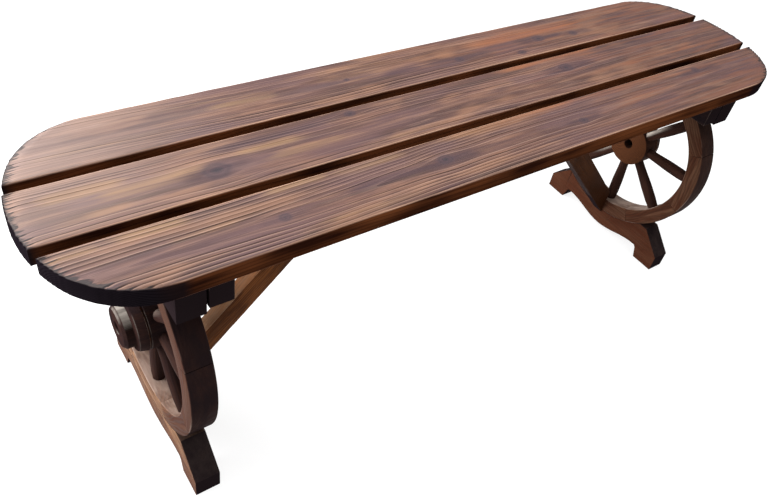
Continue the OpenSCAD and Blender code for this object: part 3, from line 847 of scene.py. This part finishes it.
def brushed_fir():
    """Fir board, scorched with a flame, wire-brushed and stained brown.

    The flame blackens the hard latewood lines, the knots and the ends; the brush cuts the soft
    earlywood back and leaves it lighter, so the board is striped along its length and ribbed.
    """
    material, tree = new_material("Fir board, scorched, wire-brushed and stained")
    place = add(tree, "ShaderNodeTexCoord").outputs["Object"]
    x, y, z = add(tree, "ShaderNodeSeparateXYZ", [place]).outputs
    ring, spacing, bold, knot, gold, smudge, side, end, under, from_end = (
        add(tree, "ShaderNodeAttribute", attribute_name=key).outputs["Fac"]
        for key in ("ring", "spacing", "bold", "knot", "gold", "smudge", "side", "end", "under", "from_end"))

    fibres = grain_marks(tree, place, (14, 900), 3.0, 0.6)          # 1.1 mm wide, 70 mm long
    bands = grain_marks(tree, place, (3.3, 80), 4.0, 0.55, 2.0)     # 12 mm wide, 300 mm long
    clouds = grain_marks(tree, place, (6, 16), 2.0, 0.5, 4.0)       # 60 mm wide, 170 mm long
    breaks = grain_marks(tree, place, (9, 150), 2.0, 0.5, 7.0)      # 7 mm wide, 110 mm long
    blotches = grain_marks(tree, place, (7, 30), 2.0, 0.5, 11.0)    # 33 mm wide, 140 mm long
    year = chance_of_ring(tree, ring, 0.5)
    lines = ring_lines(tree, ring, spacing, bold)

    # the left end is painted paler, most of all at the back: a painted sheen; the right part is redder
    painted_sheen = add(tree, "ShaderNodeMapRange", [x, -0.30, -0.66, 0.0, 0.5], interpolation_type="SMOOTHSTEP")
    early = coats(
        tree, coat(tree, linear("6c4a3e"), linear("4e3433"), clouds, 0.35, 0.65),
        ("4a2e25", year, 0.0, 1.0, 0.0, 0.7),
        ("86624f", bands, 0.5, 0.68, 0.0, 0.85),
        ("33211d", bands, 0.46, 0.3, 0.0, 0.7),
        ("331c16", fibres, 0.36, 0.56, 0.6, 0.0),
        ("8f7466", fibres, 0.56, 0.72, 0.0, 0.5),
        ("51383c", blotches, 0.48, 0.62, 0.0, 0.55),
        ("8a6248", blotches, 0.42, 0.32, 0.0, 0.4),
        # painted sheen: the left end paler, most of all at the back
        ("a48c80", thinned(tree, painted_sheen, (y, -0.12, 0.14))),
        ("6b402d", thinned(tree, 0.65, (x, -0.1, 0.5), (breaks, 0.42, 0.62))))

    # golden patches where the stain took less, and dark smudges, both with ragged sides
    ragged = add(tree, "ShaderNodeMath", [fibres, 0.4, -0.8], operation="MULTIPLY_ADD")
    ragged = add(tree, "ShaderNodeMath", [breaks, 1.2, ragged], operation="MULTIPLY_ADD")
    gold = add(tree, "ShaderNodeMath", [gold, ragged], operation="ADD")
    gold = add(tree, "ShaderNodeMapRange", [gold, 0.25, 1.1, 0.0, 0.52])
    warm = coat(tree, linear("96744e"), linear("96582f"), x, -0.2, 0.15)
    smudge = add(tree, "ShaderNodeMath", [smudge, ragged], operation="SUBTRACT")
    colour = coat(tree, early, warm, gold)
    colour = coat(tree, colour, linear("3a252b"), smudge, 0.2, 1.1, 0.0, 0.85)

    # few rings are bold: lines that lie close together, or lie flat in the face, are faint
    rarity = add(tree, "ShaderNodeMapRange", [bold, -1.0, 1.0, 2.8, 0.4])
    chance = add(tree, "ShaderNodeMath", [chance_of_ring(tree, ring, 9.5), rarity], operation="POWER")
    strength = thinned(
        tree, add(tree, "ShaderNodeMapRange", [chance, 0.0, 1.0, 0.3, 1.1]),
        (spacing, 3.0, 5.2, 0.2, 1.0), (spacing, 8.0, 12.0, 1.0, 0.2), (bold, -1.0, 0.0, 0.5, 1.0),
        (bands, 0.35, 0.6, 1.0, 0.75), (x, 0.0, 0.45, 1.0, 0.35))
    drawn = add(tree, "ShaderNodeMath", [lines, strength], operation="MULTIPLY")
    # the year's first growth, just outside each line, is the softest and palest, and is painted paler still
    # as a painted highlight along the brushed ridges
    after = add(tree, "ShaderNodeMath", [ring], operation="FRACT")
    after = add(tree, "ShaderNodeMath", [after, spacing], operation="MULTIPLY")
    first = thinned(tree, strength, (after, 0.3, 2.2, 0.6, 0.0), (spacing, 3.0, 5.0, 0.35, 1.0))
    colour = coat(tree, colour, linear("b2907e"), first)
    colour = coat(tree, colour, coat(tree, linear("1b0c08"), linear("371b0e"), gold), drawn)

    # a knot: a dark heart, paler wood round it, and a dark rim where the board's own fibres close in
    knot = add(tree, "ShaderNodeMath", [knot, 0.35], operation="SUBTRACT")
    knot = add(tree, "ShaderNodeMath", [breaks, 0.7, knot], operation="MULTIPLY_ADD")
    heart = add(tree, "ShaderNodeMapRange", [knot, 0.0, 1.0, 0.8, 0.0], interpolation_type="SMOOTHSTEP")
    off_rim = add(tree, "ShaderNodeMath", [knot, 1.05], operation="SUBTRACT")
    off_rim = add(tree, "ShaderNodeMath", [off_rim], operation="ABSOLUTE")
    rim = add(tree, "ShaderNodeMapRange", [off_rim, 0.0, 0.45, 0.35, 0.0], interpolation_type="SMOOTHSTEP")
    dark = add(tree, "ShaderNodeMath", [heart, rim], operation="MAXIMUM")

    # the flame reached further in along the hard lines
    reach = add(tree, "ShaderNodeMath", [fibres, 10.0], operation="MULTIPLY")
    reach = add(tree, "ShaderNodeMath", [lines, 7.0, reach], operation="MULTIPLY_ADD")
    tongues = add(tree, "ShaderNodeMapRange", [breaks, 0.5, 0.7])
    reach = add(tree, "ShaderNodeMath", [tongues, 9.0, reach], operation="MULTIPLY_ADD")
    burnt = add(tree, "ShaderNodeMath", [from_end, reach], operation="SUBTRACT")
    colour = coats(tree, colour, ("442f35", knot, 0.8, 2.1, 0.6, 0.0, "SMOOTHSTEP"), ("231d25", dark),
                   ("1d1719", burnt, -4.0, 1.0, 0.85, 0.0, "SMOOTHSTEP"))

    # the sides are plainer: mottled brown, darker downwards, and burnt towards the ends
    mottle = add(tree, "ShaderNodeMath", [bands, 0.4], operation="MULTIPLY")
    mottle = add(tree, "ShaderNodeMath", [clouds, 0.6, mottle], operation="MULTIPLY_ADD")
    near_end = add(tree, "ShaderNodeMath", [mottle, -40.0, from_end], operation="MULTIPLY_ADD")
    plain = coats(
        tree, coat(tree, linear("27120b"), linear("62371f"), mottle, 0.4, 0.56),
        ("140805", lines, 0.0, 1.0, 0.0, 0.35),
        ("140805", z, PLANK_HIGH.z - 8 * MM, PLANK_LOW.z, 0.0, 0.5),
        ("141013", near_end, -18.0, -4.0, 0.9, 0.0))
    colour = coat(tree, colour, plain, side, 0.6, 1.0)
    # a light line along the arrises: worn wood, and a painted highlight
    rubbed_and_highlit = thinned(tree, 1.0, (side, 0.1, 0.42), (side, 0.6, 0.9, 1.0, 0.0), (bands, 0.4, 0.6, 0.25, 0.8),
                     (from_end, 3.0, 20.0))
    colour = coat(tree, colour, linear("b8927a"), rubbed_and_highlit)
    colour = coat(tree, colour, coat(tree, linear("171317"), linear("100c10"), lines), end)
    colour = coat(tree, colour, coat(tree, linear("4c3023"), linear("27170f"), lines), under)

    # soot is matt, and the hard lines stand out
    soot = add(tree, "ShaderNodeMath", [drawn, 0.85], operation="MULTIPLY")
    matt = add(tree, "ShaderNodeMath", [end, side], operation="MAXIMUM")
    matt = add(tree, "ShaderNodeMath", [matt, soot], operation="MAXIMUM")
    gloss = add(tree, "ShaderNodeMapRange", [matt, 0.0, 0.9, 0.36, 0.0])
    rough = add(tree, "ShaderNodeMapRange", [drawn, 0.0, 1.0, 0.6, 0.42])
    relief = add(tree, "ShaderNodeMath", [fibres, 0.6], operation="MULTIPLY")
    relief = add(tree, "ShaderNodeMath", [drawn, 0.6, relief], operation="MULTIPLY_ADD")
    wood_surface(tree, colour, rough, gloss, relief, 0.9, 0.8 * MM)
    return material


def stained_fir(name, early, deep_stain_and_shade, late, worn, end_grain, ring_width):
    """Fir, scorched with a flame and stained: brown, with its rings and fibres a shade darker.

    It is black where the flame caught it, darker on its end grain, and pale where wear or bleaching took its
    colour. Its black is in part painted shade, and its pale in part a painted sheen and painted highlights.
    The attribute "grain" runs along the fibres. Each piece is cut from another place of the tree, 20 to 70 mm
    from its pith.
    """
    material, tree = new_material(name)
    grain = add(tree, "ShaderNodeAttribute", attribute_name="grain").outputs["Vector"]
    piece, shade, char_and_painted_shade, cut, bleach_and_sheen, arris = (
        add(tree, "ShaderNodeAttribute", attribute_name=key).outputs["Fac"]
        for key in ("piece", "shade", "char_and_painted_shade", "cut", "bleach_and_sheen", "arris"))
    far_along = add(tree, "ShaderNodeMath", [piece, 3.0], operation="MULTIPLY")
    shift = add(tree, "ShaderNodeCombineXYZ", [far_along, piece])
    place = add(tree, "ShaderNodeVectorMath", [grain, shift], operation="ADD")
    sway = grain_marks(tree, place, (9, 22), 1.5)                  # 45 mm wide, 110 mm long
    fibres = grain_marks(tree, place, (16, 800), 3.0, 0.6)         # 1.3 mm wide, 60 mm long
    clouds = grain_marks(tree, place, (14, 34), 3.0)               # 30 mm wide, 70 mm long
    streaks = grain_marks(tree, place, (12, 160), 3.0, 0.6)        # 6 mm wide, 80 mm long

    # growth rings round a pith that lies beside the piece
    _, across, deep = add(tree, "ShaderNodeSeparateXYZ", [grain]).outputs
    pith = add(tree, "ShaderNodeMath", [piece, 50 * MM, 20 * MM], operation="MULTIPLY_ADD")
    deep = add(tree, "ShaderNodeMath", [deep, pith], operation="ADD")
    aside = add(tree, "ShaderNodeMath", [sway, 30 * MM, across], operation="MULTIPLY_ADD")
    section = add(tree, "ShaderNodeCombineXYZ", {"Y": aside, "Z": deep})
    radius = add(tree, "ShaderNodeVectorMath", [section], operation="LENGTH").outputs["Value"]
    ring = add(tree, "ShaderNodeMath", [radius, ring_width], operation="DIVIDE")
    lines = ring_lines(tree, ring, ring_width / MM)

    patch = add(tree, "ShaderNodeMath", [clouds, 0.5], operation="MULTIPLY")
    patch = add(tree, "ShaderNodeMath", [streaks, 0.5, patch], operation="MULTIPLY_ADD")
    scorched = thinned(tree, char_and_painted_shade, (clouds, 0.35, 0.6, 1.0, 0.8))
    # the deep stain goes on as far as shade says: the stain's own tone, and in part painted shade on pieces
    # further from the light
    colour = coats(
        tree, coat(tree, linear(early[0]), linear(early[1]), patch, 0.42, 0.58),
        (deep_stain_and_shade, shade),
        (late, thinned(tree, lines, (char_and_painted_shade, 0.0, 1.0, 0.45, 0.15))),
        (late, fibres, 0.36, 0.58, 0.45, 0.0))
    colour = coat(tree, colour, coat(tree, linear(end_grain[0]), linear(end_grain[1]), lines), cut)
    # black charring, which in part is painted shade; pale where bleached, with a painted sheen on faces that
    # look up and a painted highlight on the spokes; pale worn edges
    colour = coats(
        tree, colour,
        ("1e1719", scorched),
        (worn, thinned(tree, bleach_and_sheen, (streaks, 0.35, 0.6, 0.55, 1.0), (clouds, 0.4, 0.56, 0.45, 1.15))),
        (worn, thinned(tree, arris, (clouds, 0.45, 0.62, 0.0, 0.45), (char_and_painted_shade, 0.0, 1.0, 1.0, 0.35))))

    matt = add(tree, "ShaderNodeMath", [scorched, cut], operation="MAXIMUM")
    gloss = add(tree, "ShaderNodeMapRange", [matt, 0.0, 1.0, 0.03, 0.0])
    rough = add(tree, "ShaderNodeMapRange", [lines, 0.0, 1.0, 0.62, 0.5])
    relief = add(tree, "ShaderNodeMath", [fibres, 0.7], operation="MULTIPLY")
    relief = add(tree, "ShaderNodeMath", [lines, 0.5, relief], operation="MULTIPLY_ADD")
    wood_surface(tree, colour, rough, gloss, relief, 0.7, 0.45 * MM)
    return material


def zinc_steel():
    """Zinc-plated steel screw: pale grey with a faint yellow cast, a little uneven."""
    material, tree = new_material("Steel, zinc-plated")
    place = add(tree, "ShaderNodeTexCoord").outputs["Object"]
    # 1.1 mm wide
    grit = add(tree, "ShaderNodeTexNoise", {"Vector": place, "Scale": 900.0, "Detail": 2.0})
    colour = coat(tree, linear("8c8a80"), linear("b9b5a6"), grit)
    rough = add(tree, "ShaderNodeMapRange", {"Value": grit, "To Min": 0.3, "To Max": 0.5})
    shader = add(tree, "ShaderNodeBsdfPrincipled", {"Base Color": colour, "Metallic": 1.0,
                 "Roughness": rough})
    add(tree, "ShaderNodeOutputMaterial", {"Surface": shader})
    return material


def bare_beech():
    """Bare beech dowel: pale, with short fine flecks."""
    material, tree = new_material("Beech, bare")
    place = add(tree, "ShaderNodeTexCoord").outputs["Object"]
    # 1.7 mm wide
    fleck = add(tree, "ShaderNodeTexNoise", {"Vector": place, "Scale": 600.0, "Detail": 3.0})
    colour = coat(tree, linear("b8926a"), linear("d8ba92"), fleck)
    shader = add(tree, "ShaderNodeBsdfPrincipled", {"Base Color": colour, "Roughness": 0.7})
    add(tree, "ShaderNodeOutputMaterial", {"Surface": shader})
    return material


# Stage

def stage():
    """A light table, soft light from the left, from behind and from above, and the photograph's camera."""
    scene = bpy.context.scene
    scene.view_settings.view_transform = "Standard"

    half = 14.0
    mesh = bpy.data.meshes.new("floor")
    mesh.from_pydata([(-half, -half, 0), (half, -half, 0), (half, half, 0), (-half, half, 0)], [],
                     [(0, 1, 2, 3)])
    material, tree = new_material("Light table, frosted white acrylic")
    shader = add(tree, "ShaderNodeBsdfPrincipled", {"Base Color": linear("8c8c8c"), "Roughness": 0.9,
                 "Specular IOR Level": 0.1, "Emission Color": linear("ffffff"), "Emission Strength": 0.82})
    add(tree, "ShaderNodeOutputMaterial", {"Surface": shader})
    mesh.materials.append(material)
    link("floor", mesh)

    world = bpy.data.worlds.new("Studio")
    world.use_nodes = True
    world.node_tree.nodes.clear()
    glow = add(world.node_tree, "ShaderNodeBackground", {"Color": linear("ffffff"), "Strength": 0.45})
    add(world.node_tree, "ShaderNodeOutputWorld", {"Surface": glow})
    scene.world = world

    def softbox(name, place, target, width, height, watts):
        light = bpy.data.lights.new(name, "AREA")
        light.shape = "RECTANGLE"
        light.size, light.size_y = width, height
        light.energy = watts
        lamp = bpy.data.objects.new(name, light)
        scene.collection.objects.link(lamp)
        lamp.location = place
        lamp.rotation_euler = (Vector(target) - Vector(place)).to_track_quat("-Z", "Y").to_euler()

    softbox("Key from the left", (-2.2, 0.6, 0.7), (-0.55, 0.0, 0.2), 1.0, 0.8, 78)
    softbox("Sheen from behind", (-0.9, 1.4, 1.3), (-0.55, 0.1, 0.45), 1.2, 0.8, 34)
    softbox("Sky overhead", (0.2, 0.3, 2.8), (0.2, 0.2, 0.0), 3.4, 2.6, 95)

    camera = bpy.data.cameras.new("Camera")
    camera.sensor_width = 36.0
    camera.lens = CAMERA_LENS
    eye = bpy.data.objects.new("Camera", camera)
    scene.collection.objects.link(eye)
    eye.location = CAMERA_PLACE
    eye.rotation_euler = [math.radians(a) for a in CAMERA_TURN]
    scene.camera = eye


def main():
    stage()
    board = brushed_fir()
    # the pale worn colours also paint a sheen on faces that look up and a highlight on the spokes, and the
    # deep stains paint shade on the pieces further from the light
    sawn = stained_fir("Fir, sawn, scorched and stained dark", early=("ac8667", "604029"),
                       deep_stain_and_shade="421f12", late="2c1a10", worn="9c877b", end_grain=("221a18", "100c0c"),
                       ring_width=3.4 * MM)
    brace_wood = stained_fir("Fir, sawn and stained orange brown", early=("73431f", "4b280f"),
                             deep_stain_and_shade="331a0c", late="2c1608", worn="a98a70",
                             end_grain=("1b1412", "0d0a0a"), ring_width=3.8 * MM)
    turned = stained_fir("Fir, turned, scorched and stained dark", early=("6b412a", "472917"),
                         deep_stain_and_shade="2c170d", late="1a0f09", worn="d8cfc4", end_grain=("54321f", "382116"),
                         ring_width=2.6 * MM)
    for name in PLANK_NAMES:
        plank(name, board)
    along_x, along_y = (1, 0, 0), (0, 1, 0)
    # on the right, far from the camera and from the key light, the foot rail and the brace are painted darker
    # as painted shade, the brace's faces across X and Z blacker and its lower part darker still; the bolster
    # and the batten are less charred
    for far, end in enumerate(ENDS):
        down_the_brace = (2 * far - 1, 0, -BRACE_SLOPE)
        under_seat = (1.3 - 0.1 * far, 1.2 - 0.2 * far, 0.8)
        sawn_piece("bolster_of_wheel_" + end, "bolster_" + end, along_y, along_x, sawn,
                   char_and_painted_shade=under_seat, shade=0.4, seed=1.3 + far)
        sawn_piece("seat_batten_" + end, "batten_" + end, along_y, along_x, sawn,
                   char_and_painted_shade=under_seat, shade=0.4, seed=3.7 + far)
        sawn_piece("foot_rail_of_wheel_" + end, "foot_rail_" + end, along_y, along_x, sawn,
                   char_and_painted_shade=(0.0, 1.6, 0.9), shade=0.35 + 0.6 * far, seed=5.1 + far, upward_bleach_and_sheen=0.05,
                   grime_and_shade=0.55 * (1 - far))
        sawn_piece("diagonal_brace_" + end, "brace_" + end, down_the_brace, along_y, brace_wood,
                   char_and_painted_shade=(1.6 * far, 0, 1.6 * far), shade=0.45 * far, seed=7.9 + far,
                   upward_bleach_and_sheen=0.25 * (1 - far), grime_and_shade=0.8 * far, grime_and_shade_up_to=BRACE_SHADE_HEIGHT)
        hub(end, turned)
    wheels(sawn, turned)
    steel, beech = zinc_steel(), bare_beech()
    for name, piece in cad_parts.items():
        if "screws" in name or "dowels" in name:
            piece.data.materials.clear()
            piece.data.materials.append(steel if "screws" in name else beech)


main()
